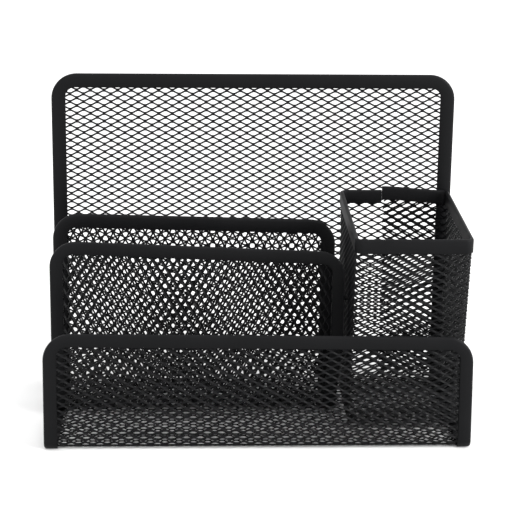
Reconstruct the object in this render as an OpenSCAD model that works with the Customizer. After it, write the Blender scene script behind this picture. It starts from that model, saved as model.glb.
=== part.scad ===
// Desk organizer in black coated expanded steel: a U-shaped outer tray with a low front and a
// tall back, a smaller U-shaped divider tray on its floor, and a pen cup in the rear right corner.
// Every free edge of a sheet sits in a folded strip of flat steel.
// Origin: middle of the footprint, on the surface it stands on. +X right, -Y front, +Z up.

/* [Overall] */
// Width across the outer tray
body_w = 205; // [180:1:260]
// Depth from the front face to the back face, at the floor
body_d = 100; // [90:1:140]
// Height of the back panel
back_h = 163.5; // [125:0.5:200]
// Height of the front panel at its left end
front_h = 57.5; // [40:0.5:80]
// How much lower the front panel is at its right end
front_drop = 2; // [0:0.5:6]
// How far the front panel leans back, in degrees
front_lean = 5; // [0:0.5:8]

/* [Sheet and edging] */
// Thickness of the expanded sheet
mesh_t = 0.8; // [0.5:0.1:1.2]
// Width of the folded edging, seen from the front
edge_w = 6.5; // [5:0.5:9]
// Thickness of the folded edging
edge_t = 2.4; // [1.8:0.1:3.2]
// How deep a sheet reaches into its edging
edge_seat = 5; // [3:0.5:6]
// Bend radius between floor and upright panels, to the middle of the sheet
bend_r = 3; // [2:0.5:8]
// Outer radius of the upright panels' top corners
corner_r = 13; // [9:0.5:16]

/* [Dividers] */
// Step in from the tray's left end to the dividers' left end
divider_inset = 1.2; // [0:0.1:4]
// Gap between the front divider's right end and the cup's rim
divider_gap = 0.8; // [0.4:0.1:4]
// How much shorter the rear divider and the dividers' floor are than the front divider
divider_step = 3; // [0:0.5:12]
// Distance from the tray's front face to the front divider
front_divider_y = 44; // [30:1:48]
// Distance between the outer faces of the two dividers
divider_pitch = 30; // [22:1:34]
// Height of the front divider at its left end
front_divider_h = 92; // [70:1:110]
// How much lower the front divider is at its right end
front_divider_drop = 6; // [0:0.5:8]
// Height of the rear divider at its left end
rear_divider_h = 98; // [76:1:120]
// How much lower the rear divider is at its right end
rear_divider_drop = 3.5; // [0:0.5:8]

/* [Pen cup] */
// Width of the cup across its rim
cup_w = 56.5; // [46:0.5:72]
// Step in from the tray's right end to the cup
cup_inset = 1.3; // [0:0.1:3]
// Height of the cup's rim
cup_h = 103; // [80:1:120]
// Distance from the tray's front face to the rim's front face
cup_rim_y = 9; // [8:0.5:26]
// How much further back the front wall is at its foot than at the rim
cup_rake = 16; // [0:0.5:20]
// Height of the rim band
rim_h = 7; // [5:0.5:9]
// Thickness of the rim band, folded over the sheet
rim_t = 2; // [1.6:0.1:2.6]
// Thickness of the fold that closes the top of the rim band
rim_cap = 0.8; // [0.4:0.1:1.2]
// Outer radius of the rim's corners
rim_r = 4; // [3:0.5:6]
// How far along the back the rim band's two ends meet, from the cup's left
lap_x = 22; // [12:0.5:40]
// How far the upper end of the rim band rides above the rest of the rim
lap_rise = 2; // [0:0.1:3]
// Width of the flange that closes the right part of the cup's back
flange_w = 33; // [20:0.5:44]

/* [Welds] */
// Diameter of a spot weld
weld_d = 3; // [2:0.1:4]
// Spot welds in each row along the dividers' floor and the cup's floor
weld_count = 3; // [2:1:5]

/* [Hidden] */
$fn = 64;
// Straight stretches that make up a panel's rounded corner
corner_steps = 16;

steel = "#242426";
sheet_colour = "#2b2b2e";
weld_colour = "#3a3a3d";

// A tray's sheet runs along the middle of its edging.
mid = edge_t / 2;
half_mesh = mesh_t / 2;
edge_lip = edge_w - edge_seat;

// Tray ends, left and right
tray_x0 = -body_w / 2;
tray_x1 = body_w / 2;
front_face = -body_d / 2;
back_face = body_d / 2;

// The cup stands on the outer tray's edging and against the back edging.
cup_x0 = tray_x1 - cup_inset - cup_w;
cup_x1 = tray_x1 - cup_inset;
cup_z0 = edge_t;
cup_wall_z0 = cup_z0 + mesh_t;
cup_wall_z1 = cup_h - rim_cap;
cup_back = back_face - edge_t;
cup_front = front_face + cup_rim_y;
cup_wall_x0 = cup_x0 + rim_t / 2;
cup_wall_x1 = cup_x1 - rim_t / 2;
cup_wall_back = cup_back - rim_t / 2;
cup_wall_front = cup_front + rim_t / 2;
cup_foot_front = cup_wall_front + cup_rake;
// The cup's floor ends where the tray's rear bend starts, and its back starts above that bend.
cup_foot_back = min(back_face - mid - bend_r, cup_wall_back - half_mesh);
cup_back_z0 = max(mid + bend_r, cup_wall_z0 + mesh_t);
rim_z0 = cup_h - rim_h;

// The divider tray stands on the outer tray's edging and ends beside the cup.
divider_z = edge_t;
divider_x0 = tray_x0 + divider_inset;
front_divider_x1 = cup_x0 - divider_gap;
rear_divider_x1 = front_divider_x1 - divider_step;
divider_face = front_face + front_divider_y;
divider_back = divider_face + divider_pitch;

// Height of the point where an upright sheet leaves its bend, above the tray's underside
function bend_top(lean) = mid + bend_r * (1 + sin(lean));

// Length of an upright sheet that reaches height h above the tray's underside
function upright(h, lean) = (h - bend_top(lean) - mid * sin(lean)) / cos(lean);

// Points on an arc round the centre c from angle a0 to angle a1
function arc(c, r, a0, a1) =
    [for (i = [0:corner_steps]) let (a = a0 + (a1 - a0) * i / corner_steps) c + r * [cos(a), sin(a)]];

// Outline of an upright panel from its bend to its top: ends x0 and x1, heights h0 and h1,
// two rounded top corners of radius r, drawn inset by i on the sides and the top
module panel_outline(x0, x1, h0, h1, r, i) {
    slope = atan2(h1 - h0, x1 - x0);
    rr = r - i;
    a = x0 + i;
    b = x1 - i;
    ha = h0 + i * tan(slope) - i / cos(slope);
    hb = h1 - i * tan(slope) - i / cos(slope);
    left = [a + rr, ha + rr * tan(slope) - rr / cos(slope)];
    right = [b - rr, hb - rr * tan(slope) - rr / cos(slope)];
    polygon(concat([[a, 0], [b, 0]], arc(right, rr, 0, 90 + slope), arc(left, rr, 90 + slope, 180)));
}

// Puts an upright panel at the end of its bend; face is the edging's outer face, and dir is
// -1 for a panel at the front of its tray and 1 for one at the back
module at_upright(face, z0, lean, dir) {
    y = face - dir * (mid + bend_r) + dir * bend_r * cos(lean);
    translate([0, y, z0 + bend_top(lean)]) rotate([90 - lean, 0, 0]) children();
}

// Sheet of an upright panel
module upright_sheet(x0, x1, h0, h1) {
    linear_extrude(mesh_t, center = true)
        panel_outline(x0, x1, h0, h1, corner_r, edge_lip);
}

// Folded edging round the sides and top of an upright panel
module upright_edging(x0, x1, h0, h1) {
    difference() {
        linear_extrude(edge_t, center = true) difference() {
            panel_outline(x0, x1, h0, h1, corner_r, 0);
            panel_outline(x0, x1, h0, h1, corner_r, edge_w);
        }
        upright_sheet(x0, x1, h0, h1);
    }
}

// Quarter bend of thickness t between x0 and x1 that joins the floor to an upright panel
module bend(face, z0, lean, dir, x0, x1, t) {
    axial = dir < 0 ? -x1 : x0;
    translate([0, face - dir * (mid + bend_r), z0 + mid + bend_r])
        rotate([0, 90, dir < 0 ? 180 : 0])
            rotate_extrude(angle = 90 - dir * lean)
                translate([bend_r - t / 2, axial]) square([t, x1 - x0]);
}

// Flat floor of thickness t between x0 and x1 of a tray with faces y0 and y1
module floor_strip(y0, y1, z0, x0, x1, t) {
    inset = mid + bend_r;
    translate([x0, y0 + inset, z0 + mid - t / 2])
        cube([x1 - x0, y1 - y0 - 2 * inset, t]);
}

// Floor and both bends of a tray, of thickness t between x0 and x1
module floor_run(y0, y1, z0, lean, x0, x1, t) {
    floor_strip(y0, y1, z0, x0, x1, t);
    bend(y0, z0, lean, -1, x0, x1, t);
    bend(y1, z0, 0, 1, x0, x1, t);
}

// Edging along one side of a tray's floor; end is its outer side, and side is -1 left, 1 right
module floor_edging(y0, y1, z0, lean, end, side) {
    outer0 = side < 0 ? end : end - edge_w;
    sheet0 = side < 0 ? end + edge_lip : end - edge_w - edge_lip;
    difference() {
        floor_run(y0, y1, z0, lean, outer0, outer0 + edge_w, edge_t);
        floor_run(y0, y1, z0, lean, sheet0, sheet0 + edge_w, mesh_t);
    }
}

front_l = upright(front_h, front_lean);
back_l = upright(back_h, 0);
front_divider_l = upright(front_divider_h - divider_z, 0);
rear_divider_l = upright(rear_divider_h - divider_z, 0);

module front_panel_mesh() {
    color(sheet_colour) at_upright(front_face, 0, front_lean, -1)
        upright_sheet(tray_x0, tray_x1, front_l, front_l - front_drop);
}

module base_mesh() {
    color(sheet_colour) floor_run(front_face, back_face, 0, front_lean,
                                  tray_x0 + edge_lip, tray_x1 - edge_lip, mesh_t);
}

module back_panel_mesh() {
    color(sheet_colour) at_upright(back_face, 0, 0, 1)
        upright_sheet(tray_x0, tray_x1, back_l, back_l);
}

module front_edging() {
    color(steel) at_upright(front_face, 0, front_lean, -1)
        upright_edging(tray_x0, tray_x1, front_l, front_l - front_drop);
}

module back_edging() {
    color(steel) at_upright(back_face, 0, 0, 1)
        upright_edging(tray_x0, tray_x1, back_l, back_l);
}

module left_base_edging() {
    color(steel) floor_edging(front_face, back_face, 0, front_lean, tray_x0, -1);
}

module right_base_edging() {
    color(steel) floor_edging(front_face, back_face, 0, front_lean, tray_x1, 1);
}

module front_divider_mesh() {
    color(sheet_colour) at_upright(divider_face, divider_z, 0, -1)
        upright_sheet(divider_x0, front_divider_x1,
                      front_divider_l, front_divider_l - front_divider_drop);
}

module divider_base_mesh() {
    color(sheet_colour) floor_run(divider_face, divider_back, divider_z, 0,
                                  divider_x0 + edge_lip, rear_divider_x1 - edge_lip, mesh_t);
}

module rear_divider_mesh() {
    color(sheet_colour) at_upright(divider_back, divider_z, 0, 1)
        upright_sheet(divider_x0, rear_divider_x1,
                      rear_divider_l, rear_divider_l - rear_divider_drop);
}

module front_divider_edging() {
    color(steel) at_upright(divider_face, divider_z, 0, -1)
        upright_edging(divider_x0, front_divider_x1,
                       front_divider_l, front_divider_l - front_divider_drop);
}

module rear_divider_edging() {
    color(steel) at_upright(divider_back, divider_z, 0, 1)
        upright_edging(divider_x0, rear_divider_x1,
                       rear_divider_l, rear_divider_l - rear_divider_drop);
}

module divider_left_edging() {
    color(steel) floor_edging(divider_face, divider_back, divider_z, 0, divider_x0, -1);
}

module divider_right_edging() {
    color(steel) floor_edging(divider_face, divider_back, divider_z, 0, rear_divider_x1, 1);
}

// Turns a profile drawn in (Y, Z) into a plate that runs along X from x0 to x1
module along_x(x0, x1) {
    translate([x0, 0, 0]) rotate([90, 0, 90]) linear_extrude(x1 - x0) children();
}

// The front wall rakes forward from its foot and stands upright inside the rim band.
module cup_front_wall() {
    foot = cup_foot_front - half_mesh;
    top = cup_wall_front - half_mesh;
    color(sheet_colour) along_x(cup_wall_x0 - half_mesh, cup_wall_x1 + half_mesh)
        polygon([[foot, cup_wall_z0], [foot + mesh_t, cup_wall_z0], [top + mesh_t, rim_z0],
                 [top + mesh_t, cup_wall_z1], [top, cup_wall_z1], [top, rim_z0]]);
}

// Side wall of the cup in the plane x, closed by the front wall and by the flange's plane, and
// cut off at its rear foot, over the tray's bend
module cup_side_wall(x) {
    foot = cup_foot_front + half_mesh;
    top = cup_wall_front + half_mesh;
    back = cup_wall_back - half_mesh;
    along_x(x - half_mesh, x + half_mesh)
        polygon([[foot, cup_wall_z0], [cup_foot_back, cup_wall_z0], [back, cup_back_z0],
                 [back, cup_wall_z1], [top, cup_wall_z1], [top, rim_z0]]);
}

module cup_left_wall() {
    color(sheet_colour) cup_side_wall(cup_wall_x0);
}

module cup_right_wall() {
    color(sheet_colour) cup_side_wall(cup_wall_x1);
}

// Flange bent off the right wall, flat against the back edging
module cup_rear_flange() {
    x1 = cup_wall_x1 + half_mesh;
    color(sheet_colour) translate([x1 - flange_w, cup_wall_back - half_mesh, cup_back_z0])
        cube([flange_w, mesh_t, cup_wall_z1 - cup_back_z0]);
}

module cup_base_mesh() {
    x0 = cup_wall_x0 - half_mesh;
    y0 = cup_foot_front - half_mesh;
    color(sheet_colour) translate([x0, y0, cup_z0])
        cube([cup_wall_x1 + half_mesh - x0, cup_foot_back - y0, mesh_t]);
}

// Rim outline inset by i, rounded at its four corners
module rim_outline(i) {
    r = rim_r - i;
    size = [cup_w - 2 * i, cup_back - cup_front - 2 * i];
    translate([cup_x0 + i, cup_front + i]) {
        translate([r, 0]) square([size.x - 2 * r, size.y]);
        translate([0, r]) square([size.x, size.y - 2 * r]);
        for (x = [r, size.x - r], y = [r, size.y - r]) translate([x, y]) circle(r);
    }
}

// Rim band from height z0 to z1, hollow inside
module rim_ring(z0, z1) {
    translate([0, 0, z0]) linear_extrude(z1 - z0) difference() {
        rim_outline(0);
        rim_outline(rim_t);
    }
}

// One strip folded over the walls' top edge. Its ends meet at the back, where the right
// end rides a little above the rim.
module cup_rim_band() {
    color(steel) difference() {
        union() {
            rim_ring(rim_z0, cup_h);
            translate([cup_x0 + lap_x, cup_back - rim_t, rim_z0])
                cube([cup_w - lap_x - rim_r, rim_t, rim_h + lap_rise]);
        }
        cup_front_wall();
        cup_left_wall();
        cup_right_wall();
        cup_rear_flange();
    }
}

// Positions of n spots spread evenly inside a to b
function spread(a, b, n) = [for (i = [0:n - 1]) a + (i + 0.5) * (b - a) / n];

// Spot welds from the outer floor up to the dividers' floor and to its right-hand edging
module divider_floor_welds() {
    mesh_top = mid + half_mesh;
    floor_y = spread(divider_face + mid + bend_r, divider_back - mid - bend_r, weld_count);
    floor_x = spread(divider_x0 + edge_w, rear_divider_x1 - edge_w, weld_count);
    color(weld_colour) {
        for (y = floor_y) translate([rear_divider_x1 - edge_w / 2, y, mesh_top])
            cylinder(h = divider_z - mesh_top, d = weld_d);
        for (x = floor_x) translate([x, (divider_face + divider_back) / 2, mesh_top])
            cylinder(h = divider_z + mid - half_mesh - mesh_top, d = weld_d);
    }
}

// Spot welds from the outer floor up to the cup's floor
module cup_floor_welds() {
    mesh_top = mid + half_mesh;
    x0 = cup_wall_x0 + weld_d;
    x1 = tray_x1 - edge_w - weld_d;
    color(weld_colour)
        for (x = [x0, x1], y = spread(cup_foot_front, cup_foot_back, weld_count))
            translate([x, y, mesh_top]) cylinder(h = cup_z0 - mesh_top, d = weld_d);
}

// Spot welds from the front divider's right-hand edging to the cup's left wall
module cup_side_welds() {
    gap = cup_wall_x0 - half_mesh - front_divider_x1;
    y = divider_face + mid;
    z0 = divider_z + bend_top(0);
    z1 = front_divider_h - front_divider_drop - corner_r;
    color(weld_colour) for (z = spread(z0, z1, weld_count))
        translate([front_divider_x1, y, z]) rotate([0, 90, 0])
            cylinder(h = gap, d = min(weld_d, edge_t));
}

// Spot welds from the cup's flange to the back panel's right-hand edging
module cup_back_welds() {
    y0 = cup_wall_back + half_mesh;
    x = tray_x1 - edge_w + weld_d / 2;
    color(weld_colour) for (z = spread(cup_back_z0, rim_z0, weld_count))
        translate([x, y0, z]) rotate([-90, 0, 0]) cylinder(h = cup_back - y0, d = weld_d);
}

front_panel_mesh();
base_mesh();
back_panel_mesh();
front_edging();
back_edging();
left_base_edging();
right_base_edging();
front_divider_mesh();
divider_base_mesh();
rear_divider_mesh();
front_divider_edging();
rear_divider_edging();
divider_left_edging();
divider_right_edging();
cup_front_wall();
cup_left_wall();
cup_right_wall();
cup_rear_flange();
cup_base_mesh();
cup_rim_band();
divider_floor_welds();
cup_floor_welds();
cup_side_welds();
cup_back_welds();
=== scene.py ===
"""Looks of a desk organizer in black coated expanded steel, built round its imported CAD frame.

The sheets are real expanded mesh: rows of slit and stretched strands that meet in knots. Each free
edge sits in a folded steel strip, and the pen cup has a folded rim band. Sizes are in metres.
"""

import math

import bpy
import numpy as np
from bpy.props import FloatProperty, FloatVectorProperty, PointerProperty
from mathutils import Matrix, Vector


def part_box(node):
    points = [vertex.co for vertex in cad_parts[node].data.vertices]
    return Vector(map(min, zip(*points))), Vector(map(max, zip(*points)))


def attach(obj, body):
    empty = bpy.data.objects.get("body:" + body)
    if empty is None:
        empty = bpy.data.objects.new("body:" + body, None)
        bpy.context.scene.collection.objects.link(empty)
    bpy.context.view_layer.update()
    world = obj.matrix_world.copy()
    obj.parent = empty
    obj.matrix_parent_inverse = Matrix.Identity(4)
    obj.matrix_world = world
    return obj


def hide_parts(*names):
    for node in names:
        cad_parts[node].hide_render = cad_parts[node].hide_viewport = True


bl_info = {
    "name": "Mesh desk organizer",
    "version": (1, 0, 0),
    "blender": (4, 5, 0),
    "location": "View3D > Sidebar > Organizer",
    "description": "Builds the looks of an expanded-steel desk organizer round its CAD frame",
    "category": "Object",
}

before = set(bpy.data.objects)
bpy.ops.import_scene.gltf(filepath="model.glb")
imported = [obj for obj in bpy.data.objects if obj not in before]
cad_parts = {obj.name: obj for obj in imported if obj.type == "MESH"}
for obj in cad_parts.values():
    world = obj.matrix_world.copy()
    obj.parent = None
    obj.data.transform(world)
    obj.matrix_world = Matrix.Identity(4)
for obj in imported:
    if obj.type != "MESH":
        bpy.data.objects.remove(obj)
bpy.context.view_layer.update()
MM = 0.001
BODY = "root"


# ---------------------------------------------------------------------------------------------
# Sizes that come from the frame
# ---------------------------------------------------------------------------------------------


def node_size(node):
    """Extent of a CAD node along X, Y and Z."""
    low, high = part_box(node)
    return high - low


SHEET_T = node_size("back_panel_mesh").y
EDGE_T = node_size("back_edging").y
EDGE_W = node_size("left_base_edging").x
EDGE_LIP = (node_size("back_edging").x - node_size("back_panel_mesh").x) / 2
BEND_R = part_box("back_panel_mesh")[0].z - EDGE_T / 2

# Angle between two faces from which their edge is shaded sharp
SHARP_EDGE = math.radians(40)

# Edging: longest part of a straight, and points on a corner, on the fold and on a cut edge
SWEEP_STEP = 1 * MM
CORNER_POINTS = 17
FOLD_POINTS = 11
TIP_POINTS = 4

# The S below the right-hand side of a front panel that is wider than its floor: its radius, the
# points on each of its arcs, where it starts, and where the sheet's edge steps behind it. Both
# places are shares of the panel's height, from the top.
EASING_R = 25 * MM
EASING_POINTS = 9
EASING_START = 0.62
EASING_STEP = 0.8

# Expanded mesh: places of two stations on a sloping strand, as shares of its length, and how far
# the strand has swung there. Painted highlight on a knot, a lighter coat, and how fast it fades
# away from one.
STRAND_PLACES = (0.25, 0.75)
STRAND_SWING = 0.55
KNOT_HIGHLIGHT = 0.6
KNOT_HIGHLIGHT_FADE = 8

# Rim band: parts of its straights behind right, at a side, in front and behind left, and points
# on each corner
RIM_PARTS = (30, 60, 40, 20)
RIM_CORNER_POINTS = 13

# Coat: clouds per metre, how much they change the roughness, and the grain's bump
CLOUD_SCALE = 45.0
ROUGHNESS_SWING = 0.06
GRAIN_STRENGTH = 0.35
GRAIN_DEPTH = 0.02 * MM

FLOOR_REACH = 12.0


def panel_lean(node):
    """Angle that a leaning flat sheet makes with the upright, from its box."""
    size = node_size(node)
    return math.atan2(size.y - SHEET_T, size.z)


# ---------------------------------------------------------------------------------------------
# Settings
# ---------------------------------------------------------------------------------------------


class ExpandedMeshSettings(bpy.types.PropertyGroup):
    """The diamonds of the expanded sheet."""

    long_way: FloatProperty(
        name="Long way", description="Distance between knots along a row",
        default=6.9 * MM, min=4 * MM, max=12 * MM, unit="LENGTH", precision=5)
    short_way: FloatProperty(
        name="Short way", description="Height of a diamond, from knot to knot",
        default=4.0 * MM, min=2 * MM, max=8 * MM, unit="LENGTH", precision=5)
    strand_width: FloatProperty(
        name="Strand width", description="Width of the strand that each slit leaves",
        default=0.84 * MM, min=0.4 * MM, max=1.5 * MM, unit="LENGTH", precision=5)
    strand_thickness: FloatProperty(
        name="Strand thickness", description="Thickness of the sheet with its coat",
        default=0.6 * MM, min=0.3 * MM, max=0.8 * MM, unit="LENGTH", precision=5)
    knot_length: FloatProperty(
        name="Knot length", description="Length along a row over which two strands stay joined",
        default=1.0 * MM, min=0.5 * MM, max=3 * MM, unit="LENGTH", precision=5)
    swell: FloatProperty(
        name="Swell", description="How much broader a strand is between its knots",
        default=1.05, min=1.0, max=1.5)
    tilt: FloatProperty(
        name="Tilt", description="Angle at which stretching has turned the strands",
        default=math.radians(-25), min=-1.0, max=1.0, subtype="ANGLE")


class EdgingSettings(bpy.types.PropertyGroup):
    """The folded strip round the free edges."""

    front_width: FloatProperty(
        name="Width in front", description="Width of the strip on the panel in front of a floor",
        default=EDGE_W - 0.1 * MM, min=5 * MM, max=9 * MM, unit="LENGTH", precision=5)
    back_width: FloatProperty(
        name="Width at the back", description="Width of the strip on the panel behind a floor",
        default=EDGE_W + 0.6 * MM, min=5 * MM, max=9 * MM, unit="LENGTH", precision=5)
    corner_radius: FloatProperty(
        name="Corner radius", description="Outer radius of a panel's top corners",
        default=13 * MM, min=9 * MM, max=16 * MM, unit="LENGTH", precision=5)
    inner_radius: FloatProperty(
        name="Inner corner radius", description="Radius of the strip's inner edge at a corner",
        default=5 * MM, min=1 * MM, max=8 * MM, unit="LENGTH", precision=5)
    tip_radius: FloatProperty(
        name="Tip radius", description="Rounding of the strip's cut edges",
        default=0.25 * MM, min=0.05 * MM, max=0.35 * MM, unit="LENGTH", precision=5)


class SlopeSettings(bpy.types.PropertyGroup):
    """The panels whose tops slope down to the right."""

    front_panel: FloatProperty(
        name="Front panel", description="How much lower its top is at the right",
        default=2 * MM, min=0.0, max=6 * MM, unit="LENGTH", precision=5)
    front_divider: FloatProperty(
        name="Front divider", description="How much lower its top is at the right",
        default=6 * MM, min=0.0, max=8 * MM, unit="LENGTH", precision=5)
    rear_divider: FloatProperty(
        name="Rear divider", description="How much lower its top is at the right",
        default=3.5 * MM, min=0.0, max=8 * MM, unit="LENGTH", precision=5)


class CupSettings(bpy.types.PropertyGroup):
    """The pen cup's sheet and rim."""

    corner_radius: FloatProperty(
        name="Corner radius", description="Radius of the upright bends, to the sheet's middle",
        default=3 * MM, min=1 * MM, max=8 * MM, unit="LENGTH", precision=5)
    rim_thickness: FloatProperty(
        name="Rim thickness", description="Thickness of the folded rim band",
        default=2 * MM, min=1.6 * MM, max=2.6 * MM, unit="LENGTH", precision=5)
    rim_radius: FloatProperty(
        name="Rim radius", description="Outer radius of the rim's corners",
        default=4 * MM, min=3 * MM, max=6 * MM, unit="LENGTH", precision=5)
    rim_cap: FloatProperty(
        name="Rim cap", description="Thickness of the fold that closes the band's top",
        default=0.8 * MM, min=0.4 * MM, max=1.2 * MM, unit="LENGTH", precision=5)
    lap_place: FloatProperty(
        name="Place of the lap", description="From the cup's left to where the band's ends meet",
        default=22 * MM, min=12 * MM, max=40 * MM, unit="LENGTH", precision=5)
    lap_rise: FloatProperty(
        name="Rise at the lap", description="How far the right end rides above the rim",
        default=2 * MM, min=0.0, max=3 * MM, unit="LENGTH", precision=5)
    rim_tilt: FloatProperty(
        name="Rim tilt", description="How much higher the band sits at the back than in front",
        default=1.2 * MM, min=0.0, max=2 * MM, unit="LENGTH", precision=5)
    lap_gap: FloatProperty(
        name="Gap at the lap", description="Distance between the rim band's two ends",
        default=0.25 * MM, min=0.0, max=2 * MM, unit="LENGTH", precision=5)


class CoatSettings(bpy.types.PropertyGroup):
    """The black powder coat."""

    colour: FloatVectorProperty(
        name="Colour", description="Colour of the coat", subtype="COLOR",
        default=(0.0030, 0.0031, 0.0035), min=0.0, max=1.0)
    # Painted highlight: a lighter coat colour on the rolled folds and the knots, where light would
    # catch them.
    painted_highlight_colour: FloatVectorProperty(
        name="Painted highlight colour", description="Colour of the painted highlight on the folds and knots",
        subtype="COLOR", default=(0.010, 0.010, 0.011), min=0.0, max=1.0)
    roughness: FloatProperty(
        name="Roughness", description="Roughness of the coat", default=0.48, min=0.0, max=1.0)
    specular: FloatProperty(
        name="Specular", description="Specular level of the coat", default=0.09, min=0.0, max=1.0)
    grain_size: FloatProperty(
        name="Grain size", description="Size of the coat's fine grain",
        default=0.35 * MM, min=0.05 * MM, max=2 * MM, unit="LENGTH", precision=5)


class StageSettings(bpy.types.PropertyGroup):
    """Floor, lights and camera."""

    floor_colour: FloatVectorProperty(
        name="Floor colour", description="Colour of the floor", subtype="COLOR",
        default=(0.84, 0.84, 0.84), min=0.0, max=1.0)
    sky: FloatProperty(
        name="Soft light", description="Strength of the even light from all round",
        default=1.5, min=0.0, max=5.0)
    key: FloatProperty(
        name="Key light", description="Power of the soft box at the right",
        default=28.0, min=0.0, max=500.0, unit="POWER")
    key_place: FloatVectorProperty(
        name="Place of the key light", description="Middle of the soft box",
        subtype="TRANSLATION", default=(1.35, -0.8, 0.72), precision=3)
    key_size: FloatProperty(
        name="Size of the key light", description="Side of the soft box",
        default=0.8, min=0.05, max=3.0, unit="LENGTH")
    lens: FloatProperty(
        name="Focal length", description="Camera's focal length in millimetres",
        default=123.4, min=20.0, max=300.0)
    distance: FloatProperty(
        name="Distance", description="From the camera to the point it looks at",
        default=0.8777, min=0.2, max=5.0, unit="LENGTH", precision=4)
    yaw: FloatProperty(
        name="Yaw", description="Turn of the view to the right",
        default=math.radians(2.69), subtype="ANGLE")
    pitch: FloatProperty(
        name="Pitch", description="Downward slope of the view",
        default=math.radians(17.04), subtype="ANGLE")
    roll: FloatProperty(
        name="Roll", description="Turn of the camera about its view",
        default=math.radians(0.775), subtype="ANGLE")
    aim: FloatVectorProperty(
        name="Aim", description="Point that the camera looks at",
        subtype="TRANSLATION", default=(0.00166, 0.0, 0.0803), precision=5)


# ---------------------------------------------------------------------------------------------
# Surfaces
# ---------------------------------------------------------------------------------------------


def new_piece(name, points, quads, painted_highlight, material, replaced):
    """Puts points and quads into a mesh object, drops unused points and hands it to the frame.

    The last array says for each point how much painted highlight, a lighter coat, lies there, from
    0 to 1.
    """
    used, index = np.unique(quads, return_inverse=True)
    quads = index.reshape(quads.shape)
    mesh = bpy.data.meshes.new(name)
    mesh.vertices.add(len(used))
    mesh.vertices.foreach_set("co", points[used].astype(np.float32).ravel())
    mesh.loops.add(quads.size)
    mesh.loops.foreach_set("vertex_index", quads.astype(np.int32).ravel())
    mesh.polygons.add(len(quads))
    mesh.polygons.foreach_set("loop_start", np.arange(0, quads.size, 4, dtype=np.int32))
    mesh.update(calc_edges=True)
    mesh.validate()
    mesh.shade_smooth()
    mesh.set_sharp_from_angle(angle=SHARP_EDGE)
    layer = mesh.attributes.new("painted_highlight", "FLOAT", "POINT")
    layer.data.foreach_set("value", painted_highlight.ravel()[used].astype(np.float32))
    piece = bpy.data.objects.new(name, mesh)
    bpy.context.scene.collection.objects.link(piece)
    mesh.materials.append(material)
    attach(piece, BODY)
    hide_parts(*replaced)


def strand_rows(settings, span, across, inside, place):
    """Expanded mesh on the sheet coordinates (s along a row, v across the rows, n off the sheet).

    Row k is one zigzag strand of rectangular section. Its middle is at
    v = k S/2 + g (S/4 - w cos t / 2) and n = -g w sin t / 2, where S is the short way, w the strand
    width, t the tilt, and g swings between +1 and -1 from knot to knot and changes sign from row to
    row. Its section is turned by t, so that neighbours meet edge to edge in a knot; there their
    shared wall is left out and their corners are one. `inside` says where the sheet is, and `place`
    carries the corners into space. Returns the points, the quads and the share of painted
    highlight, a lighter coat, at each point, which is most on the knots.
    """
    half_pitch = settings.long_way / 2
    slope = half_pitch - settings.knot_length
    half_knot = settings.knot_length / 2
    # Four stations for each half diamond: both ends of the knot and two on the sloping strand.
    stations = np.array([-half_knot, half_knot, *(half_knot + x * slope for x in STRAND_PLACES)])
    swing = np.array([1.0, 1.0, STRAND_SWING, -STRAND_SWING])
    swell = np.array([1.0, 1.0, settings.swell, settings.swell])
    first, last = math.floor(span[0] / half_pitch), math.ceil(span[1] / half_pitch)
    steps = np.arange(first, last + 1)
    s = (steps[:, None] * half_pitch + stations).ravel()
    sign = np.where(steps % 2 == 0, 1.0, -1.0)
    g = (sign[:, None] * swing).ravel()
    wide = np.tile(swell, len(steps))

    spacing = settings.short_way / 2
    k = np.arange(math.floor(across[0] / spacing), math.ceil(across[1] / spacing) + 1)
    g = np.where(k[:, None] % 2 == 0, 1.0, -1.0) * g
    cos_t, sin_t = math.cos(settings.tilt), math.sin(settings.tilt)
    width = settings.strand_width
    v = k[:, None] * spacing + g * (spacing - width * cos_t) / 2
    n = -g * width * sin_t / 2

    # Corners of the section, counter-clockwise seen against the row's direction
    side = np.array([-1.0, 1.0, 1.0, -1.0]) * width / 2
    face = np.array([-1.0, -1.0, 1.0, 1.0]) * settings.strand_thickness / 2
    corner_v = v[..., None] + wide[None, :, None] * side * cos_t - face * sin_t
    corner_n = n[..., None] + wide[None, :, None] * side * sin_t + face * cos_t
    corner_s = np.broadcast_to(s[None, :, None], corner_v.shape)

    rows, cols = v.shape
    there = inside(np.broadcast_to(s, v.shape), v)
    run = there[:, :-1] & there[:, 1:]
    knot = (g[:, :-1] == 1) & (g[:, 1:] == 1)
    joined = np.zeros_like(run)
    joined[:-1] = knot[:-1] & run[:-1] & run[1:]

    index = np.arange(rows * cols * 4).reshape(rows, cols, 4)
    shared = np.zeros((rows, cols), bool)
    shared[:, :-1] |= joined
    shared[:, 1:] |= joined
    upper = index[1:]
    upper[..., 0] = np.where(shared[:-1], index[:-1, :, 1], upper[..., 0])
    upper[..., 3] = np.where(shared[:-1], index[:-1, :, 2], upper[..., 3])

    here, ahead = index[:, :-1], index[:, 1:]
    next_here, next_ahead = np.roll(here, -1, -1), np.roll(ahead, -1, -1)
    walls = np.stack([here, next_here, next_ahead, ahead], -1)
    keep = np.repeat(run[..., None], 4, 2)
    keep[..., 1] &= ~joined
    keep[1:, :, 3] &= ~joined[:-1]
    starts = run.copy()
    starts[:, 1:] &= ~run[:, :-1]
    ends = run.copy()
    ends[:, :-1] &= ~run[:, 1:]
    quads = np.concatenate([walls[keep], here[starts][:, ::-1], ahead[ends]])
    points = np.stack(place(corner_s, corner_v, corner_n), -1).reshape(-1, 3)
    # Painted highlight: the coat is lighter on the knots and fades along the strands.
    painted_highlight = np.broadcast_to(KNOT_HIGHLIGHT * np.abs(g[..., None]) ** KNOT_HIGHLIGHT_FADE, corner_v.shape)
    return points, quads, painted_highlight


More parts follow.
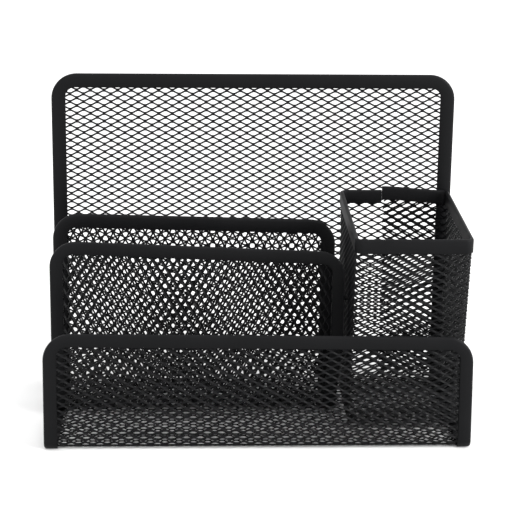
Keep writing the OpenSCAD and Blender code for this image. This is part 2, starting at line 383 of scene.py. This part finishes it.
def folded(start, heading, legs):
    """Section of a folded sheet, as a function that carries (v, n) to the section's plane.

    The section starts at `start` with the given heading, and each leg has a length and a turn.
    Over a straight leg a point moves by l (cos h, sin h). Over a bend of radius r = length / turn
    it moves by r (sin(h + l/r) - sin h, cos h - cos(h + l/r)). n is laid off to the left of the
    heading.
    """

    def place(v, n):
        a, b = np.full(v.shape, float(start[0])), np.full(v.shape, float(start[1]))
        angle = np.full(v.shape, heading)
        h, done = heading, 0.0
        for number, (length, turn) in enumerate(legs):
            low = -np.inf if number == 0 else 0.0
            high = np.inf if number == len(legs) - 1 else length
            part = np.clip(v - done, low, high)
            if turn:
                r = length / turn
                a += r * (np.sin(h + part / r) - math.sin(h))
                b += r * (math.cos(h) - np.cos(h + part / r))
                angle += part / r
            else:
                a += part * math.cos(h)
                b += part * math.sin(h)
            h, done = h + turn, done + length
        return a - n * np.sin(angle), b + n * np.cos(angle)

    return place


def rounded_loop(corners, radii, steps, counts):
    """Closed outline through corners, each rounded by its radius.

    At a corner the outline follows an arc tangent to both edges, and between arcs it is straight.
    Corner i has steps[i] points and the straight after it counts[i] parts, so that loops with the
    same steps and counts match point for point.
    """
    corners = np.array(corners, float)
    before = corners - np.roll(corners, 1, 0)
    after = np.roll(corners, -1, 0) - corners
    into = before / np.linalg.norm(before, axis=1, keepdims=True)
    out = after / np.linalg.norm(after, axis=1, keepdims=True)
    turn = np.arctan2(into[:, 0] * out[:, 1] - into[:, 1] * out[:, 0], (into * out).sum(1))
    cut = np.abs(np.array(radii) * np.tan(turn / 2))
    left = np.stack([-into[:, 1], into[:, 0]], 1) * np.sign(turn)[:, None]
    centre = corners - into * cut[:, None] + left * np.array(radii)[:, None]
    pieces = []
    for i in range(len(corners)):
        a = np.linspace(0, 1, steps[i]) * turn[i]
        x, y = -left[i] * radii[i]
        cos_a, sin_a = np.cos(a), np.sin(a)
        arc = centre[i] + np.stack([x * cos_a - y * sin_a, x * sin_a + y * cos_a], 1)
        j = (i + 1) % len(corners)
        end = corners[j] - into[j] * cut[j]
        t = np.linspace(0, 1, counts[i] + 1)[1:-1, None]
        pieces += [arc, arc[-1] + (end - arc[-1]) * t]
    return np.concatenate(pieces)


def channel_profile(width, thickness, slot, lip, tip):
    """Folded strip's section as (share of width, height): a round fold, two legs and their slot.

    The fold is half a circle of the strip's thickness. `slot` is the thickness of the sheet, whose
    edge lies `lip` in from the fold, and the cut edges of the legs are rounded by `tip`.
    """
    h = thickness / 2
    fold = np.linspace(-math.pi / 2, -3 * math.pi / 2, FOLD_POINTS)
    round_fold = np.stack([h + h * np.cos(fold), h * np.sin(fold)], 1)
    corner = np.linspace(math.pi / 2, 0, TIP_POINTS)
    upper = np.stack([width - tip + tip * np.cos(corner), h - tip + tip * np.sin(corner)], 1)
    inner = np.array([[width, slot / 2], [lip, slot / 2], [lip, -slot / 2], [width, -slot / 2]])
    lower = upper[::-1] * [1, -1]
    section = np.concatenate([round_fold, upper, inner, lower])
    return section / [width, 1]


def fold_highlight(depth, thickness):
    """Share of painted highlight on a folded strip: 1 on the fold, and none one thickness in from
    it.
    """
    return np.clip(1 - depth / thickness, 0, 1)


def swept(section, outer, inner, place):
    """Carries a closed section round two matching loops.

    A section point (a, n) lies at outer + a (inner - outer), and n off the sheet there.
    Returns the points and the quads.
    """
    a, n = section[:, 0], section[:, 1]
    flat = outer[:, None] + a[None, :, None] * (inner - outer)[:, None]
    points = np.stack(place(flat[..., 0], flat[..., 1], np.broadcast_to(n, flat.shape[:2])), -1)
    here = np.arange(len(outer) * len(a)).reshape(len(outer), len(a))
    ahead = np.roll(here, -1, 0)
    walls = np.stack([here, ahead, np.roll(ahead, -1, 1), np.roll(here, -1, 1)], -1)
    return points.reshape(-1, 3), walls.reshape(-1, 4)


# ---------------------------------------------------------------------------------------------
# The two folded trays
# ---------------------------------------------------------------------------------------------


class Tray:
    """One U-shaped tray: its folded section and the outline of its flat blank."""

    def __init__(self, front, floor, back, lean=0.0, front_drop=0.0, rear_drop=0.0):
        """Takes the names of its front edging, one floor edging and its back edging."""
        front_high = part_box(front)[1]
        floor_low, floor_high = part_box(floor)
        back_low, back_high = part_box(back)
        mid = EDGE_T / 2
        inset = mid + BEND_R
        z0 = floor_low.z
        sin_l, cos_l = math.sin(lean), math.cos(lean)
        rise = BEND_R * (1 + sin_l)
        front_length = (front_high.z - z0 - mid - rise - mid * sin_l) / cos_l
        floor_length = floor_high.y - floor_low.y - 2 * inset
        back_length = back_high.z - z0 - inset
        foot = (floor_low.y + inset - BEND_R * cos_l, z0 + mid + rise)
        start = (foot[0] + front_length * sin_l, foot[1] + front_length * cos_l)
        quarter = math.pi / 2
        front_turn = quarter + lean
        legs = [(front_length, 0.0), (BEND_R * front_turn, front_turn), (floor_length, 0.0),
                (BEND_R * quarter, quarter), (back_length, 0.0)]
        self.section = folded(start, -front_turn, legs)
        self.front_length = front_length
        self.length = sum(leg[0] for leg in legs)
        self.back_start = self.length - back_length
        self.floor_end = self.back_start - legs[3][0]
        self.x0 = back_low.x
        self.front_x1, self.back_x1 = front_high.x, back_high.x
        self.front_drop, self.rear_drop = front_drop, rear_drop

    def place(self, x, v, n):
        """Carries points of the flat blank into space."""
        y, z = self.section(v, n)
        return x, y, z

    def outline(self, front, back, radius):
        """Outline of the blank, inset by `front` round its front panel and by `back` at its back.

        Across the floor the inset goes evenly from one to the other. A front panel that is wider
        than its floor narrows in an S below its right-hand side. Returns the corners, their radii
        and the number of points on each arc.
        """
        slope_front = self.front_drop / (self.front_x1 - self.x0)
        slope_back = self.rear_drop / (self.back_x1 - self.x0)
        left_front, left_back = self.x0 + front, self.x0 + back
        right_front, right_back = self.front_x1 - front, self.back_x1 - back
        top_left = front + slope_front * front
        top_right = front + self.front_drop - slope_front * front
        low_left = self.length - back - slope_back * back
        low_right = self.length - back - self.rear_drop + slope_back * back
        rows = [(left_front, top_left, radius, CORNER_POINTS),
                (right_front, top_right, radius, CORNER_POINTS)]
        if self.front_x1 > self.back_x1:
            right_floor = self.back_x1 - front
            rows += [
                (right_front, self.front_length * EASING_START, EASING_R, EASING_POINTS),
                (right_floor, self.front_length - BEND_R, EASING_R, EASING_POINTS)]
        else:
            rows.append((right_front, self.front_length, 0, 1))
        rows += [(right_back, self.back_start, 0, 1),
                 (right_back, low_right, radius, CORNER_POINTS),
                 (left_back, low_left, radius, CORNER_POINTS),
                 (left_back, self.back_start, 0, 1),
                 (left_front, self.front_length, 0, 1)]
        return [row[:2] for row in rows], [row[2] for row in rows], [row[3] for row in rows]

    def inside(self, inset):
        """Test for points of the blank that lie on the sheet."""

        def test(x, v):
            right = np.where(v < self.front_length * EASING_STEP, self.front_x1, self.back_x1)
            share_front = (x - self.x0) / (self.front_x1 - self.x0)
            share_back = (x - self.x0) / (self.back_x1 - self.x0)
            top = inset + self.front_drop * share_front
            bottom = self.length - inset - self.rear_drop * share_back
            radius = bpy.context.scene.organizer_edging.corner_radius - inset
            dx = np.maximum(self.x0 + inset + radius - x, x - (right - inset - radius)) / radius
            dv = np.maximum(top + radius - v, v - (bottom - radius)) / radius
            rounded = np.hypot(np.maximum(dx, 0), np.maximum(dv, 0)) <= 1
            return rounded & (dx <= 1) & (dv <= 1)

        return test


def outer_tray():
    """The outer tray, whose front panel leans back."""
    slopes = bpy.context.scene.organizer_slope
    return Tray("front_edging", "left_base_edging", "back_edging",
                lean=panel_lean("front_panel_mesh"), front_drop=slopes.front_panel)


def divider_tray():
    """The divider tray, whose two panels slope down to the right."""
    slopes = bpy.context.scene.organizer_slope
    return Tray("front_divider_edging", "divider_left_edging", "rear_divider_edging",
                front_drop=slopes.front_divider, rear_drop=slopes.rear_divider)


def tray_mesh(tray, name, v_range, replaced, upright=False):
    """Expanded mesh of a tray between two lines across its blank.

    Rows run across the tray. Where the blank was cut the other way of the sheet, `upright` turns
    the pattern by a quarter, so that a row runs along v and the rows follow each other towards -x.
    """
    settings = bpy.context.scene.organizer_mesh
    on_sheet = tray.inside(EDGE_LIP)

    def inside(x, v):
        return on_sheet(x, v) & (v >= v_range[0]) & (v < v_range[1])

    x1 = max(tray.front_x1, tray.back_x1)
    if upright:
        points, quads, painted_highlight = strand_rows(
            settings, v_range, (-x1, -tray.x0), lambda s, c: inside(-c, s),
            lambda s, c, n: tray.place(-c, s, n))
    else:
        points, quads, painted_highlight = strand_rows(settings, (tray.x0, x1), v_range, inside, tray.place)
    new_piece(name, points, quads, painted_highlight, material("coated_mesh"), replaced)


def tray_edging(tray, name, replaced):
    """Folded strip round a tray's whole free edge."""
    settings = bpy.context.scene.organizer_edging
    corners, radii, steps = tray.outline(0.0, 0.0, settings.corner_radius)
    inner_corners, inner_radii, _ = tray.outline(
        settings.front_width, settings.back_width, settings.inner_radius)
    lengths = np.linalg.norm(np.roll(np.array(corners), -1, 0) - np.array(corners), axis=1)
    counts = np.maximum(2, np.ceil(lengths / SWEEP_STEP)).astype(int)
    outer = rounded_loop(corners, radii, steps, counts)
    inner = rounded_loop(inner_corners, inner_radii, steps, counts)
    section = channel_profile(EDGE_W, EDGE_T, SHEET_T, EDGE_LIP, settings.tip_radius)
    points, quads = swept(section, outer, inner, tray.place)
    # Painted highlight along the strip's rounded fold.
    painted_highlight = np.broadcast_to(fold_highlight(section[:, 0] * EDGE_W, EDGE_T), (len(outer), len(section)))
    new_piece(name, points, quads, painted_highlight, material("coated_edging"), replaced)


# ---------------------------------------------------------------------------------------------
# The pen cup
# ---------------------------------------------------------------------------------------------


class Cup:
    """The pen cup's plan at each height, from its nodes."""

    def __init__(self):
        front_low, front_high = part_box("cup_front_wall")
        flange_low, flange_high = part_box("cup_rear_flange")
        rim_low, rim_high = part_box("cup_rim_band")
        half = SHEET_T / 2
        self.x0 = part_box("cup_left_wall")[0].x + half
        self.x1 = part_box("cup_right_wall")[1].x - half
        self.back = flange_high.y - half
        self.z0, self.z1 = front_low.z, front_high.z
        self.rim_low, self.rim_high = rim_low, rim_high
        self.front_top = front_low.y + half
        self.front_foot = front_high.y - half
        self.flange = flange_high.x - flange_low.x
        self.flange_foot = flange_low.z
        settings = bpy.context.scene.organizer_cup
        self.radius = settings.corner_radius
        self.lap_x = rim_low.x + settings.lap_place
        self.rim_height = rim_high.z - rim_low.z - settings.lap_rise

    def front(self, z):
        """Middle of the front wall at height z: raked up to the rim band and upright in it."""
        share = np.clip((z - self.z0) / (self.rim_low.z - self.z0), 0, 1)
        return self.front_foot + (self.front_top - self.front_foot) * share

    def place(self, s, z, n):
        """Carries (s round the plan from the front's middle, height z, n outwards) into space.

        Each half runs along the front, round a bend, back along the side, and on the right round a
        second bend and along the flange. Along a bend of radius r the point moves by
        r (sin a, 1 - cos a) with a = length / r, as on any folded sheet.
        """
        middle, half = (self.x0 + self.x1) / 2, (self.x1 - self.x0) / 2
        r = self.radius
        quarter = math.pi / 2
        u = np.abs(s)
        front = self.front(z)
        a = np.clip(u - (half - r), 0, r * quarter) / r
        side_start = half - r + r * quarter
        side = self.back - r - (front + r)
        b = np.clip(u - side_start - side, 0, r * quarter) / r
        along_front = np.minimum(u, half - r)
        along_side = np.clip(u - side_start, 0, side)
        along_back = np.maximum(u - side_start - side - r * quarter, 0)
        x = along_front + r * np.sin(a) - r * (1 - np.cos(b)) - along_back
        y = front + r * (1 - np.cos(a)) + along_side + r * np.sin(b)
        heading = a + b
        sign = np.where(s < 0, -1.0, 1.0)
        return middle + sign * (x + n * np.sin(heading)), y - n * np.cos(heading), z

    def inside(self, s, z):
        """Test for points on the wall's sheet, whose back starts above the tray's bend."""
        half, r = (self.x1 - self.x0) / 2, self.radius
        side_end = half - r + r * math.pi / 2 + self.back - self.front(z) - 2 * r
        right_end = side_end + r * (math.pi / 2 - 1) + self.flange
        foot = np.where(np.abs(s) > side_end, self.flange_foot, self.z0)
        return (z > foot) & (z < self.z1) & (s > -side_end - r) & (s < right_end)


def rim_line(cup):
    """Plan of the rim band's middle, open at the lap on the back.

    It starts at the lap, and runs right, forward along the right side, along the front, back along
    the left side and round to the lap. Each corner is a quarter circle.
    """
    settings = bpy.context.scene.organizer_cup
    inset = settings.rim_thickness / 2
    x0, x1 = cup.rim_low.x + inset, cup.rim_high.x - inset
    y0, y1 = cup.rim_low.y + inset, cup.rim_high.y - inset
    lap, r = cup.lap_x, settings.rim_radius - inset
    behind_right, side, front, behind_left = RIM_PARTS
    angles = np.linspace(0, math.pi / 2, RIM_CORNER_POINTS)

    def bend(cx, cy, turn):
        return np.stack([cx + r * np.cos(turn - angles), cy + r * np.sin(turn - angles)], 1)

    def straight(a, b, count):
        share = np.linspace(0, 1, count + 1)[1:-1, None]
        return np.array(a) + (np.array(b) - np.array(a)) * share

    quarter = math.pi / 2
    return np.concatenate([
        np.array([[lap, y1]]),
        straight((lap, y1), (x1 - r, y1), behind_right),
        bend(x1 - r, y1 - r, quarter),
        straight((x1, y1 - r), (x1, y0 + r), side),
        bend(x1 - r, y0 + r, 0.0),
        straight((x1 - r, y0), (x0 + r, y0), front),
        bend(x0 + r, y0 + r, -quarter),
        straight((x0, y0 + r), (x0, y1 - r), side),
        bend(x0 + r, y1 - r, 2 * quarter),
        straight((x0 + r, y1), (lap - settings.lap_gap, y1), behind_left),
        np.array([[lap - settings.lap_gap, y1]]),
    ])


def rim_band(cup):
    """Folded band over the cup's rim. Returns the points, the quads and the share of painted
    highlight.

    Behind, the right part starts high at the lap and comes down to the rim at its corner by
    1 - q q (3 - 2 q), where q is the share of the way. The band lies highest at the back.
    """
    settings = bpy.context.scene.organizer_cup
    thick, rise = settings.rim_thickness, settings.lap_rise
    low, high = cup.rim_low, cup.rim_high
    section = channel_profile(cup.rim_height, thick, SHEET_T, settings.rim_cap,
                              bpy.context.scene.organizer_edging.tip_radius)
    middle = rim_line(cup)
    x, y = middle.T
    tangent = np.gradient(middle, axis=0)
    tangent /= np.linalg.norm(tangent, axis=1, keepdims=True)
    outward = np.stack([-tangent[:, 1], tangent[:, 0]], 1)
    right_end = high.x - settings.rim_radius
    share = np.clip((x - cup.lap_x) / (right_end - cup.lap_x), 0, 1)
    behind_right = (y > high.y - settings.rim_radius) & (x >= cup.lap_x)
    lift = np.where(behind_right, rise * (1 - share * share * (3 - 2 * share)), 0.0)
    tilt = settings.rim_tilt * (y - low.y) / (high.y - low.y)
    top = high.z - rise - settings.rim_tilt / 2 + tilt + lift
    z = top[:, None] - section[:, 0] * cup.rim_height
    plan = middle[:, None] + outward[:, None] * section[None, :, 1, None]
    points = np.concatenate([plan, z[..., None]], 2)

    count, ring = points.shape[:2]
    index = np.arange(count * ring).reshape(count, ring)
    here, ahead = index[:-1], index[1:]
    walls = np.stack([here, np.roll(here, -1, 1), np.roll(ahead, -1, 1), ahead], -1)
    # The section is a folded strip, so an end is closed by quads from one side to the other.
    side = np.arange(ring // 2 - 1)
    other = ring - 1 - side
    end = np.stack([side, side + 1, other - 1, other], 1)
    quads = np.concatenate([walls.reshape(-1, 4), index[0][end[:, ::-1]], index[-1][end]])
    # Painted highlight along the band's rounded top fold.
    painted_highlight = np.broadcast_to(fold_highlight(section[:, 0] * cup.rim_height, thick), (count, ring))
    return points.reshape(-1, 3), quads, painted_highlight


# ---------------------------------------------------------------------------------------------
# Materials
# ---------------------------------------------------------------------------------------------


def coat_group():
    """Node group of the powder coat: fine grain, faint clouding and a painted highlight, a lighter
    coat on the folds and knots.
    """
    name = "powder_coat"
    if name in bpy.data.node_groups:
        return bpy.data.node_groups[name]
    group = bpy.data.node_groups.new(name, "ShaderNodeTree")
    face = group.interface
    for direction, sockets in [
            ("INPUT", [("Coat Colour", "NodeSocketColor"), ("Rubbed Colour", "NodeSocketColor"),
                       ("Roughness", "NodeSocketFloat"), ("Grain Scale", "NodeSocketFloat"),
                       ("Rub", "NodeSocketFloat")]),
            ("OUTPUT", [("Colour", "NodeSocketColor"), ("Roughness", "NodeSocketFloat"),
                        ("Height", "NodeSocketFloat")])]:
        for label, kind in sockets:
            face.new_socket(label, in_out=direction, socket_type=kind)
    nodes, links = group.nodes, group.links
    entry, leave = nodes.new("NodeGroupInput"), nodes.new("NodeGroupOutput")
    place = nodes.new("ShaderNodeTexCoord")
    grain = nodes.new("ShaderNodeTexNoise")
    grain.inputs["Detail"].default_value = 2.0
    links.new(place.outputs["Object"], grain.inputs["Vector"])
    links.new(entry.outputs["Grain Scale"], grain.inputs["Scale"])
    cloud = nodes.new("ShaderNodeTexNoise")
    cloud.inputs["Scale"].default_value = CLOUD_SCALE
    cloud.inputs["Detail"].default_value = 3.0
    links.new(place.outputs["Object"], cloud.inputs["Vector"])

    # Painted highlight: the coat turns lighter by the stored share, broken up by the clouds.
    highlight_amount = nodes.new("ShaderNodeMath")
    highlight_amount.operation = "MULTIPLY"
    links.new(entry.outputs["Rub"], highlight_amount.inputs[0])
    links.new(cloud.outputs["Fac"], highlight_amount.inputs[1])
    colour = nodes.new("ShaderNodeMix")
    colour.data_type = "RGBA"
    # The node has sockets for each kind of data; 0, 6 and 7 in and 2 out are the colour's.
    links.new(highlight_amount.outputs[0], colour.inputs[0])
    links.new(entry.outputs["Coat Colour"], colour.inputs[6])
    links.new(entry.outputs["Rubbed Colour"], colour.inputs[7])
    links.new(colour.outputs[2], leave.inputs["Colour"])

    swing = nodes.new("ShaderNodeMapRange")
    swing.inputs["To Min"].default_value = -ROUGHNESS_SWING
    swing.inputs["To Max"].default_value = ROUGHNESS_SWING
    links.new(cloud.outputs["Fac"], swing.inputs["Value"])
    rough = nodes.new("ShaderNodeMath")
    rough.operation = "ADD"
    links.new(entry.outputs["Roughness"], rough.inputs[0])
    links.new(swing.outputs[0], rough.inputs[1])
    links.new(rough.outputs[0], leave.inputs["Roughness"])
    links.new(grain.outputs["Fac"], leave.inputs["Height"])
    return group


def material(name):
    """The coat on one kind of piece: the shared group feeds a Principled shader."""
    if name in bpy.data.materials:
        return bpy.data.materials[name]
    coat = bpy.context.scene.organizer_coat
    made = bpy.data.materials.new(name)
    made.use_nodes = True
    nodes, links = made.node_tree.nodes, made.node_tree.links
    shader = nodes["Principled BSDF"]
    shader.inputs["Specular IOR Level"].default_value = coat.specular
    group = nodes.new("ShaderNodeGroup")
    group.node_tree = coat_group()
    group.inputs["Coat Colour"].default_value = (*coat.colour, 1)
    group.inputs["Rubbed Colour"].default_value = (*coat.painted_highlight_colour, 1)
    group.inputs["Roughness"].default_value = coat.roughness
    group.inputs["Grain Scale"].default_value = 1 / coat.grain_size
    bump = nodes.new("ShaderNodeBump")
    bump.inputs["Strength"].default_value = GRAIN_STRENGTH
    bump.inputs["Distance"].default_value = GRAIN_DEPTH
    # Share of painted highlight that each piece stores on its points.
    painted_highlight = nodes.new("ShaderNodeAttribute")
    painted_highlight.attribute_name = "painted_highlight"
    links.new(painted_highlight.outputs["Fac"], group.inputs["Rub"])
    links.new(group.outputs["Colour"], shader.inputs["Base Color"])
    links.new(group.outputs["Roughness"], shader.inputs["Roughness"])
    links.new(group.outputs["Height"], bump.inputs["Height"])
    links.new(bump.outputs["Normal"], shader.inputs["Normal"])
    return made


# ---------------------------------------------------------------------------------------------
# Stage
# ---------------------------------------------------------------------------------------------


def add_floor(settings):
    """Plain pale floor at the height that the part stands on."""
    reach = FLOOR_REACH
    corners = [(-reach, -reach, 0), (reach, -reach, 0), (reach, reach, 0), (-reach, reach, 0)]
    mesh = bpy.data.meshes.new("floor")
    mesh.from_pydata(corners, [], [(0, 1, 2, 3)])
    floor = bpy.data.objects.new("floor", mesh)
    bpy.context.scene.collection.objects.link(floor)
    paint = bpy.data.materials.new("floor_paint")
    paint.use_nodes = True
    shader = paint.node_tree.nodes["Principled BSDF"]
    shader.inputs["Base Color"].default_value = (*settings.floor_colour, 1)
    shader.inputs["Roughness"].default_value = 0.9
    shader.inputs["Specular IOR Level"].default_value = 0.1
    mesh.materials.append(paint)


def add_lights(settings):
    """Even light from all round and a soft box at the right."""
    world = bpy.data.worlds.new("studio")
    world.use_nodes = True
    sky = world.node_tree.nodes["Background"]
    sky.inputs["Color"].default_value = (1, 1, 1, 1)
    sky.inputs["Strength"].default_value = settings.sky
    bpy.context.scene.world = world

    light = bpy.data.lights.new("key_light", "AREA")
    light.energy = settings.key
    light.size = settings.key_size
    lamp = bpy.data.objects.new("key_light", light)
    place = Vector(settings.key_place)
    lamp.location = place
    lamp.rotation_euler = (Vector(settings.aim) - place).to_track_quat("-Z", "Y").to_euler()
    bpy.context.scene.collection.objects.link(lamp)


def add_camera(settings):
    """Camera on a line through the point it looks at, turned by the yaw, the pitch and the roll."""
    yaw, pitch, roll = settings.yaw, settings.pitch, settings.roll
    flat = math.cos(pitch)
    ahead = Vector((math.sin(yaw) * flat, math.cos(yaw) * flat, -math.sin(pitch)))
    level = Vector((math.cos(yaw), -math.sin(yaw), 0.0))
    above = level.cross(ahead)
    right = level * math.cos(roll) + above * math.sin(roll)
    up = above * math.cos(roll) - level * math.sin(roll)
    data = bpy.data.cameras.new("camera")
    data.sensor_width = 36.0
    data.lens = settings.lens
    data.clip_start, data.clip_end = 0.05, 50.0
    camera = bpy.data.objects.new("camera", data)
    turn = Matrix((right, up, -ahead)).transposed().to_4x4()
    place = Vector(settings.aim) - ahead * settings.distance
    camera.matrix_world = Matrix.Translation(place) @ turn
    scene = bpy.context.scene
    scene.collection.objects.link(camera)
    scene.camera = camera
    scene.view_settings.view_transform = "Standard"


# ---------------------------------------------------------------------------------------------
# Operators
# ---------------------------------------------------------------------------------------------


class ORGANIZER_OT_outer_mesh(bpy.types.Operator):
    """Expanded mesh of the outer tray: front panel and floor, then back panel"""

    bl_idname = "organizer.outer_mesh"
    bl_label = "Outer tray mesh"

    def execute(self, context):
        tray = outer_tray()
        tray_mesh(tray, "outer_front_and_floor_mesh", (0.0, tray.floor_end),
                  ["front_panel_mesh", "base_mesh"])
        tray_mesh(tray, "outer_back_mesh", (tray.floor_end, tray.length), ["back_panel_mesh"])
        return {"FINISHED"}


class ORGANIZER_OT_divider_mesh(bpy.types.Operator):
    """Expanded mesh of the divider tray"""

    bl_idname = "organizer.divider_mesh"
    bl_label = "Divider mesh"

    def execute(self, context):
        tray = divider_tray()
        tray_mesh(tray, "divider_mesh", (0.0, tray.length),
                  ["front_divider_mesh", "divider_base_mesh", "rear_divider_mesh"], upright=True)
        return {"FINISHED"}


class ORGANIZER_OT_edging(bpy.types.Operator):
    """Folded edging round both trays"""

    bl_idname = "organizer.edging"
    bl_label = "Edging"

    def execute(self, context):
        tray_edging(outer_tray(), "outer_edging",
                    ["front_edging", "back_edging", "left_base_edging", "right_base_edging"])
        tray_edging(divider_tray(), "divider_edging",
                    ["front_divider_edging", "rear_divider_edging",
                     "divider_left_edging", "divider_right_edging"])
        return {"FINISHED"}


class ORGANIZER_OT_cup_mesh(bpy.types.Operator):
    """Expanded mesh of the pen cup's walls and floor"""

    bl_idname = "organizer.cup_mesh"
    bl_label = "Pen cup mesh"

    def execute(self, context):
        settings = context.scene.organizer_mesh
        cup = Cup()
        reach = cup.x1 - cup.x0 + cup.back - cup.front_top + cup.flange
        points, quads, painted_highlight = strand_rows(
            settings, (-reach, reach), (cup.z0, cup.z1), cup.inside, cup.place)
        new_piece("cup_wall_mesh", points, quads, painted_highlight, material("coated_mesh"),
                  ["cup_front_wall", "cup_left_wall", "cup_right_wall", "cup_rear_flange"])
        low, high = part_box("cup_base_mesh")
        middle = (low.z + high.z) / 2

        def inside(x, y):
            return (x > low.x) & (x < high.x) & (y > low.y) & (y < high.y)

        points, quads, painted_highlight = strand_rows(settings, (low.x, high.x), (low.y, high.y), inside,
                                         lambda x, y, n: (x, y, middle + n))
        new_piece("cup_floor_mesh", points, quads, painted_highlight, material("coated_mesh"),
                  ["cup_base_mesh"])
        return {"FINISHED"}


class ORGANIZER_OT_rim_band(bpy.types.Operator):
    """Folded band over the pen cup's rim"""

    bl_idname = "organizer.rim_band"
    bl_label = "Rim band"

    def execute(self, context):
        points, quads, painted_highlight = rim_band(Cup())
        new_piece("cup_rim_band_folded", points, quads, painted_highlight, material("coated_rim"),
                  ["cup_rim_band"])
        return {"FINISHED"}


class ORGANIZER_OT_welds(bpy.types.Operator):
    """Coat on the spot welds"""

    bl_idname = "organizer.welds"
    bl_label = "Spot welds"

    def execute(self, context):
        for name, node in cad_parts.items():
            if name.endswith("_welds"):
                node.data.materials.clear()
                node.data.materials.append(material("coated_weld"))
        return {"FINISHED"}


class ORGANIZER_OT_stage(bpy.types.Operator):
    """Pale floor, soft lights and camera"""

    bl_idname = "organizer.stage"
    bl_label = "Stage"

    def execute(self, context):
        settings = context.scene.organizer_stage
        add_floor(settings)
        add_lights(settings)
        add_camera(settings)
        return {"FINISHED"}


PIECE_OPERATORS = [
    ORGANIZER_OT_stage,
    ORGANIZER_OT_outer_mesh,
    ORGANIZER_OT_divider_mesh,
    ORGANIZER_OT_edging,
    ORGANIZER_OT_cup_mesh,
    ORGANIZER_OT_rim_band,
    ORGANIZER_OT_welds,
]
SETTINGS = {
    "organizer_mesh": ExpandedMeshSettings,
    "organizer_edging": EdgingSettings,
    "organizer_slope": SlopeSettings,
    "organizer_cup": CupSettings,
    "organizer_coat": CoatSettings,
    "organizer_stage": StageSettings,
}


class ORGANIZER_PT_panel(bpy.types.Panel):
    """Sidebar panel with the settings and the operators"""

    bl_label = "Mesh desk organizer"
    bl_idname = "ORGANIZER_PT_panel"
    bl_space_type = "VIEW_3D"
    bl_region_type = "UI"
    bl_category = "Organizer"

    def draw(self, context):
        layout = self.layout
        for name, group in SETTINGS.items():
            box = layout.box()
            for prop in group.__annotations__:
                box.prop(getattr(context.scene, name), prop)
        for operator in PIECE_OPERATORS:
            layout.operator(operator.bl_idname)


CLASSES = [*SETTINGS.values(), *PIECE_OPERATORS, ORGANIZER_PT_panel]


def register():
    """Registers the classes and hangs the settings on the scene."""
    for cls in CLASSES:
        bpy.utils.register_class(cls)
    for name, group in SETTINGS.items():
        setattr(bpy.types.Scene, name, PointerProperty(type=group))


def unregister():
    """Takes the settings and the classes away again."""
    for name in SETTINGS:
        delattr(bpy.types.Scene, name)
    for cls in reversed(CLASSES):
        bpy.utils.unregister_class(cls)


def main():
    """Builds every piece and the stage."""
    register()
    for operator in PIECE_OPERATORS:
        group, name = operator.bl_idname.split(".")
        getattr(getattr(bpy.ops, group), name)()


if __name__ == "__main__":
    main()
